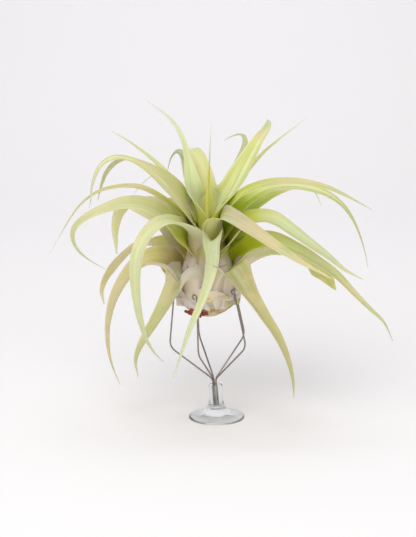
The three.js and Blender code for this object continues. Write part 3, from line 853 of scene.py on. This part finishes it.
def build_leaf(name, age, toward, seat, width, fold, roll, route, lift):
    """One leaf: a sheath that clasps the bulb and runs over into a channelled blade."""
    rng = random.Random(name)
    spiky = name == SPIKE
    depth = SPIKE_DEPTH if spiky else SHEATH_DEPTH
    seat_toward = toward + SEAT_TURN.get(name, 0)

    def place(r, z, side=0.0):
        return outwards(toward) * r + sideways(toward) * side + up(z)

    on_bulb = [outwards(seat_toward) * (float(bulb_radius(z)) + lift) + up(z)
               for z in np.linspace(seat - depth, seat, 4)]
    if spiky:
        on_bulb = []
    line = catmull_rom(on_bulb + [place(*point) for point in route])
    length = step_lengths(line).sum()
    below = 0.0 if spiky else step_lengths(catmull_rom(on_bulb)).sum()
    even = np.linspace(0, 1, ROWS)
    at = length * (0.75 * even + 0.25 * even ** 1.8)
    past = at - below
    share = np.clip(past / (length - below), 0, 1)
    points = resample(line, at)
    side, inner = leaf_sides(name, roll, share, points, sideways(seat_toward))

    radius = np.hypot(points[:, 0], points[:, 1])
    grown = smooth(past, -depth, -0.35 * depth)
    half = leaf_half_width(name, width, share, past, radius, grown)
    loose = np.ones(ROWS) if spiky else smooth(past, 2.0, FREE_AT.get(name, USUAL_FREE_AT))
    bulge = np.maximum(bulb_radius(points[:, 2]) + lift, radius)
    hugged = blend(bulge, radius, smooth(past, -5, 12))

    phase = rng.uniform(0, ANY_PHASE)
    wave_left = LONG_WAVE * np.sin(at / 7.0 + phase) + SHORT_WAVE * np.sin(at / 3.1 + 2 * phase)
    wave_right = LONG_WAVE * np.sin(at / 8.3 + 2.1 + phase) + SHORT_WAVE * np.sin(at / 3.7 - phase)
    deep = fold * fold_at(share) * (1 + DEPTH_WAVE * np.sin(at / 11.0 + phase))
    deep = deep + swell(past, *GUTTERS.get(name, NO_SWELL))
    raised = swell(past, *HORNS.get(name, NO_SWELL))
    thick = blend(FOOT_THICKNESS, TIP_THICKNESS, np.sqrt(share)) * np.clip(half / 3.0, 0.35, 1.0)
    columns = np.sin(np.linspace(-0.5, 0.5, COLUMNS) * math.pi)

    def skin(sign):
        rows = []
        for t in columns:
            edge = half * t * (1 + (wave_right if t > 0 else wave_left) * abs(t) * loose)
            slope = deep * channel_slope(t)
            body = sign * thick * (0.5 - 0.42 * abs(t) ** 3)
            tilt = body / np.hypot(slope, 1)
            height = half * deep * channel_rise(t) + raised * abs(t) ** 3 + tilt
            blade = points + side * (edge - tilt * slope)[:, None] + inner * height[:, None]
            angle = np.radians(seat_toward) + edge / np.maximum(radius, 3.0)
            sheath = round_axis(angle, hugged - body, points[:, 2] - SHEATH_DROOP * t * t * grown)
            rows.append(blend(sheath, blade, loose[:, None]))
        return np.stack(rows, axis=1)

    vertices, faces = closed_sheet(skin(1.0), skin(-1.0))
    uv = sheet_uv(columns, at / length)
    skin_name, slot, dryness = AGES[age]
    low = np.repeat([0.0, 1.0], COLUMNS)
    ahead = PALE_BY.get(name, 0) * smooth(past, 2, 18)[:, None] * (1 - low)
    data = np.zeros((ROWS, 2 * COLUMNS, 4))
    data[:, :, 0] = low
    data[:, :, 1] = TONE.get(name, rng.random())
    data[:, :, 2] = DRY.get(name, dryness) * rng.uniform(0.8, 1.2)
    data[:, :, 3] = np.clip((past + depth)[:, None] / PALE_LENGTH + ahead, 0, 1)
    material = LEAF_SKINS[SKIN_OF.get(name, skin_name)]
    obj = make_object(f"{name}_look", vertices, faces, material, uv, data.reshape(-1, 4), (PLANT_X, 0, 0))
    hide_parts(name)


ALL_LEAVES = LEAVES + back_leaves()
for order, entry in enumerate(sorted(ALL_LEAVES, key=lambda leaf: -leaf[3])):
    build_leaf(*entry, lift=INNERMOST_LIFT + LIFT_RANGE * order / len(ALL_LEAVES))


# The bulb: a core and the dry pale sheaths that wrap it

CORE_SIDES = 72
CORE_ROWS = 60

# The sheaths from the outermost in: direction, height of the top, and degrees to each side
SHEATHS = [
    (-10, 116, 62), (128, 112, 60), (-130, 114, 60), (60, 126, 58), (-70, 130, 55), (180, 128, 58),
    (15, 142, 60), (110, 145, 60), (-120, 148, 60),
]
SCALE_ROWS = 40
SCALE_COLUMNS = 33
SCALE_LENGTH = 44
LOWEST_EDGE = 86.5
SCALE_LIFT = 0.35
LIFT_PER_SCALE = 0.22
SCALE_HALF_THICKNESS = 0.22


def build_core():
    angle = np.linspace(0, FULL_TURN, CORE_SIDES, endpoint=False)
    rings = []
    for z in np.linspace(PROFILE_HEIGHTS[0], PROFILE_HEIGHTS[-1], CORE_ROWS):
        r = bulb_radius(z) * (1 + 0.012 * np.sin(5 * angle + z / 6))
        rings.append(round_axis(angle, r, np.full(CORE_SIDES, z)))
    uv = [(j / CORE_SIDES * 3, i / CORE_ROWS) for i in range(CORE_ROWS) for j in range(CORE_SIDES)]
    faces = closed_faces(CORE_ROWS, CORE_SIDES)
    core = make_object("bulb_core", np.concatenate(rings), faces, SHEATH, uv, offset=(PLANT_X, 0, 0))
    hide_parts("bulb")


def build_sheath(index, toward, top, spread):
    """A dry sheath: a thin scale with a torn upper edge, wrapped over the ones inside it."""
    phase = random.Random(index).uniform(0, ANY_PHASE)
    across = np.linspace(-1, 1, SCALE_COLUMNS)
    along = np.linspace(0, 1, SCALE_ROWS)
    angle = np.radians(toward + across * spread)
    edge = top - 15 * across ** 2 + 0.9 * np.sin(across * 9 + phase) + 0.4 * np.sin(across * 23 + phase)
    bottom = max(top - SCALE_LENGTH, LOWEST_EDGE)
    inner_lift = SCALE_LIFT + LIFT_PER_SCALE * (len(SHEATHS) - index)

    def skin(sign):
        rings = []
        for s in along:
            z = blend(bottom, edge, s)
            lift = inner_lift + 0.9 * s ** 3 + 0.25 * np.sin(across * 7 + 3 * s + phase)
            half_thickness = SCALE_HALF_THICKNESS * (1 - s ** 6)
            rings.append(round_axis(angle, bulb_radius(z) + lift - sign * half_thickness, z))
        return np.array(rings)

    points, faces = closed_sheet(skin(1.0), skin(-1.0))
    shell = make_object(f"bulb_sheath_{index + 1}", points, faces, SHEATH, sheet_uv(across, along),
                        offset=(PLANT_X, 0, 0))
    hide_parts("bulb")


build_core()
for number, sheath in enumerate(SHEATHS):
    build_sheath(number, *sheath)


# The wires

# Their heights are measured from the floor of the stalk's bore, which the cradle leans about.
BORE_FLOOR = 9.5
CRADLE_TILT = 4.5
PRONGS = 5
PRONG_SPACING = 72
FIRST_PRONG = -180
WIRE_RADIUS = 0.65
WIRE_SIDES = 14
BUNDLE_RADIUS = 1.4
SHANK_END = 0.6
JUNCTION = 34.0 - BORE_FLOOR
KNEE = np.array([34.0, 0.0, 62.0 - BORE_FLOOR])
KNEE_ROUND = 6.0
KNEE_STEPS = 8
TIP = np.array([26.4, 0.0, 107.5 - BORE_FLOOR])
EYE_RADIUS = 1.75
EYE_SWEEP = 265.0
EYE_STEPS = 24


def build_prong(index):
    """One wire: its shank, the bend at the junction, the knee and the curled eye at the tip."""
    bend = np.array([BUNDLE_RADIUS, 0.0, JUNCTION - 1.5])
    to_bend = unit(bend - KNEE)
    to_tip = unit(TIP - KNEE)
    path = [np.array([BUNDLE_RADIUS, 0, z]) for z in (SHANK_END, JUNCTION - 12, JUNCTION - 4)]
    path += [np.array([BUNDLE_RADIUS + 0.3, 0, JUNCTION - 2.2])]
    path += [bend - 2 * to_bend + np.array([0.1, 0, 0.1])]
    path += bezier(KNEE + KNEE_ROUND * to_bend, KNEE, KNEE + KNEE_ROUND * to_tip, KNEE_STEPS)
    curl = np.array([0.0, -1.0, 0.0])
    centre = TIP + EYE_RADIUS * curl
    for step in range(EYE_STEPS + 1):
        angle = math.radians(EYE_SWEEP * step / EYE_STEPS)
        path.append(centre - EYE_RADIUS * math.cos(angle) * curl + EYE_RADIUS * math.sin(angle) * to_tip)
    path = np.array(path)
    points, faces = tube(path, np.full(len(path), WIRE_RADIUS), WIRE_SIDES, (0.0, 1.0, 0.0))
    points = turned(points, (0, 0, 1), FIRST_PRONG + PRONG_SPACING * index)
    points = turned(points, (0, 1, 0), -CRADLE_TILT) + up(BORE_FLOOR)
    obj = make_object(f"prong_{index + 1}_look", points, faces, WIRE)
    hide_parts(f"prong_{index + 1}")


for number in range(PRONGS):
    build_prong(number)


# The clear foot

# Its outline as radius and height, from the hollow underneath to the top of the stalk
CUP_OUTLINE = [
    (0, 2.4), (9, 2.1), (16, 1.1), (20.5, 0), (22.5, 0), (22.5, 0.9), (20, 1.9), (15, 3.3), (10.5, 5.2),
    (7.6, 8), (6.3, 11.5), (5.75, 15), (5.75, 27), (4.75, 28), (0, 28),
]
CUP_SIDES = 96
HOLLOW_HEIGHT = 2.4
STALK_LEAN = 0.03
CORNER_CUT = 0.6
CORNER_STEPS = 3
SAME_PLACE = 1e-6


def rounded(outline):
    """The outline with each corner cut off and rounded a little."""
    outline = [np.array(point, float) for point in outline]
    points = [outline[0]]
    for before, here, after in zip(outline, outline[1:], outline[2:]):
        a = here + unit(before - here) * min(CORNER_CUT, np.linalg.norm(before - here) * 0.4)
        b = here + unit(after - here) * min(CORNER_CUT, np.linalg.norm(after - here) * 0.4)
        points += bezier(a, here, b, CORNER_STEPS)
    return points + [outline[-1]]


def build_cup():
    outline = rounded(CUP_OUTLINE)
    points = []
    uv = []
    for i, (r, z) in enumerate(outline):
        lean = STALK_LEAN * max(z - HOLLOW_HEIGHT, 0)
        for j in range(CUP_SIDES):
            angle = FULL_TURN * j / CUP_SIDES
            points.append((r * math.cos(angle) - lean, r * math.sin(angle), z))
            uv.append((j / CUP_SIDES, i / len(outline)))
    cup = make_object("suction_cup_look", points, grid_faces(len(outline), CUP_SIDES, wrap=True), CLEAR, uv)
    joined = bmesh.new()
    joined.from_mesh(cup.data)
    bmesh.ops.remove_doubles(joined, verts=joined.verts, dist=SAME_PLACE)
    bmesh.ops.recalc_face_normals(joined, faces=joined.faces)
    joined.to_mesh(cup.data)
    joined.free()
    cup.data.shade_smooth()
    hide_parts("suction_cup")


build_cup()


# The old roots

# The stubs round the dry stem end: direction, reach, droop and thickness
ROOT_STUBS = [
    (-125, 11.5, -0.5, 4.4), (-45, 7.5, 2.0, 4.2), (24, 8, 2.4, 3.6), (70, 10, -0.3, 3.6),
    (160, 8, -0.5, 3.4),
]
FIBRES_PER_STUB = 3
STEM_END_TOWARD = -27.0
STEM_END_OUT = 18.0
STEM_END_HEIGHT = 94.0
STEM_END_LEAN = 43.0

# The dry stem end: heights under its seat and the radii there
PLUG_HEIGHTS = [-4.8, -4.4, -2.6, 0]
PLUG_RADII = [1.5, 2.8, 3.9, 3.2]


def build_roots():
    rng = random.Random(11)
    plug = np.array([up(z) for z in np.linspace(PLUG_HEIGHTS[0], PLUG_HEIGHTS[-1], 9)])
    solids = [tube(plug, np.interp(plug[:, 2], PLUG_HEIGHTS, PLUG_RADII), 20, (1.0, 0.0, 0.0))]
    for toward, reach, droop, thick in ROOT_STUBS:
        for fibre in range(FIBRES_PER_STUB):
            swing = toward + rng.uniform(-9, 9)
            far = reach * (1.0 if fibre == 0 else rng.uniform(0.6, 0.9))
            out = outwards(swing)
            path = catmull_rom([out + up(-2.6),
                                out * far * 0.5 + up(-2.9 + rng.uniform(-0.6, 0.4)),
                                out * far + up(-2.6 - droop + rng.uniform(-0.4, 0.4))], 8)
            radii = np.linspace(thick * 0.68, thick * 0.26, len(path))
            radii = radii * (1 + 0.16 * np.sin(np.linspace(0, 19, len(path)) + rng.uniform(0, 6)))
            solids.append(tube(path, radii, 9, sideways(swing), 0.85))
    points, faces = gathered(solids)
    points = turned(points, sideways(STEM_END_TOWARD), -STEM_END_LEAN)
    points = points + outwards(STEM_END_TOWARD) * STEM_END_OUT + up(STEM_END_HEIGHT)
    obj = make_object("old_roots_look", points, faces, ROOT, offset=(PLANT_X, 0, 0))
    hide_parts("old_roots")


# Rusty flakes under the edge of the front sheath: direction, height, length and half thickness
RUST_FLAKES = [
    (2, 103.5, 2.6, 0.55), (9, 102.6, 3.0, 0.6), (15, 103.4, 2.4, 0.5), (22, 102.8, 2.8, 0.5),
    (29, 103.8, 2.0, 0.4), (60, 106.0, 2.6, 0.5), (-58, 104.0, 2.2, 0.45),
]
FLAKE_LIFT = 1.9
FLAKE_CURL = 0.4
FLAKE_STEPS = 8


def build_rust_flakes():
    """Short rusty flakes that lie on the bulb."""
    rng = random.Random(5)
    solids = []
    for toward, z, length, thick in RUST_FLAKES:
        radius = float(bulb_radius(z)) + FLAKE_LIFT
        turn = math.degrees(length / radius) / 2
        rise = rng.uniform(-0.5, 0.5)
        path = np.array([outwards(toward + turn * t) * (radius + FLAKE_CURL * (1 - t * t)) + up(z + rise * t)
                         for t in np.linspace(-1, 1, FLAKE_STEPS)])
        ragged = np.array([rng.uniform(0.7, 1.3) for _ in path])
        radii = thick * (0.35 + 0.65 * np.sin(np.linspace(0.2, 2.9, FLAKE_STEPS))) * ragged
        solids.append(tube(path, radii, 8, (0.0, 0.0, 1.0), 0.5))
    flakes = make_object("rust_flakes", *gathered(solids), ROOT, offset=(PLANT_X, 0, 0))


# The hair-thin dead tip at the upper left: points on its line, and its radii at both ends
WITHERED_TIP = [
    (-40.5, 4, 200), (-46, 1, 200.5), (-52, -2, 198.5), (-58, -4, 194), (-64, -5, 187), (-67, -5, 181),
]
WITHERED_RADII = (0.55, 0.16)


def build_withered_tip():
    path = catmull_rom(WITHERED_TIP, 10)
    points, faces = tube(path, np.linspace(*WITHERED_RADII, len(path)), 8, (0.0, 1.0, 0.0), 0.6)
    dead_tip = make_object("withered_tip", points, faces, WITHERED_TIP_SKIN)


build_rust_flakes()
build_withered_tip()
build_roots()


# Stage, light and camera

# All of these are in metres.
PAPER_HALF_WIDTH = 4.0
PAPER_FRONT = -3.0
PAPER_TOP = 4.0
SWEEP_START = 0.9
SWEEP_RADIUS = 1.2
SWEEP_STEPS = 16
FLOOR_WHITE = srgb(246, 245, 246)
WALL_WHITES = [(0.3, srgb(238, 236, 240)), (0.7, srgb(242, 240, 243))]


def build_stage():
    n = Nodes("pale_paper")
    place = n.object_place()
    wall = n.ramp(n.noise(place, 3.0, 2.0), WALL_WHITES)
    height = n.split(place)[2]
    n.surface(base_color=n.mix(n.range(height, 0.0, 0.7), FLOOR_WHITE, wall), roughness=0.85)
    profile = [(PAPER_FRONT, 0.0), (SWEEP_START, 0.0)]
    for step in range(1, SWEEP_STEPS + 1):
        angle = math.pi / 2 * step / SWEEP_STEPS
        profile.append((SWEEP_START + SWEEP_RADIUS * math.sin(angle), SWEEP_RADIUS * (1 - math.cos(angle))))
    profile.append((SWEEP_START + SWEEP_RADIUS, PAPER_TOP))
    points = [(x / MM, y / MM, z / MM) for y, z in profile for x in (-PAPER_HALF_WIDTH, PAPER_HALF_WIDTH)]
    sweep = make_object("backdrop", points, grid_faces(len(profile), 2), n.material)
    sweep.parent = None
    del sweep["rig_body"]


build_stage()

PLAIN = (1.0, 1.0, 1.0)
WARM = (1.0, 0.985, 0.96)
MIDDLE = (0.0, 0.0, 0.14)
WALL_MIDDLE = (0.0, 2.0, 0.9)

# The lights: name, place, what they point at, size, power and colour
LIGHTS = [
    ("key", (-0.35, -1.1, 1.35), MIDDLE, 1.5, 18.5, WARM),
    ("fill", (0.5, -1.3, 0.45), MIDDLE, 1.2, 5, WARM),
    ("top", (0.1, 0.3, 1.7), MIDDLE, 1.5, 1.5, PLAIN),
    ("wall", (0.0, 0.6, 1.9), WALL_MIDDLE, 1.6, 13, PLAIN),
]
AIR_COLOUR = (0.96, 0.955, 0.97, 1.0)
AIR_STRENGTH = 0.42

for name, place, aim, size, power, colour in LIGHTS:
    light = bpy.data.lights.new(name, "AREA")
    light.shape = "DISK"
    light.size = size
    light.energy = power
    light.color = colour
    lamp = bpy.data.objects.new(name, light)
    bpy.context.scene.collection.objects.link(lamp)
    lamp.location = place
    lamp.rotation_euler = (Vector(aim) - Vector(place)).to_track_quat("-Z", "Y").to_euler()

world = bpy.data.worlds.new("studio")
world.use_nodes = True
world.node_tree.nodes["Background"].inputs["Color"].default_value = AIR_COLOUR
world.node_tree.nodes["Background"].inputs["Strength"].default_value = AIR_STRENGTH
bpy.context.scene.world = world
bpy.context.scene.view_settings.view_transform = "Standard"

SENSOR_HEIGHT = 36.0
LENS = 103.1
CAMERA_PLACE = (PLANT_X * MM, -1.2, 0.39)
CAMERA_PITCH = 12.5

camera_data = bpy.data.cameras.new("camera")
camera_data.sensor_fit = "VERTICAL"
camera_data.sensor_height = SENSOR_HEIGHT
camera_data.lens = LENS
camera = bpy.data.objects.new("camera", camera_data)
bpy.context.scene.collection.objects.link(camera)
camera.location = CAMERA_PLACE
camera.rotation_euler = (math.radians(90 - CAMERA_PITCH), 0.0, 0.0)
bpy.context.scene.camera = camera
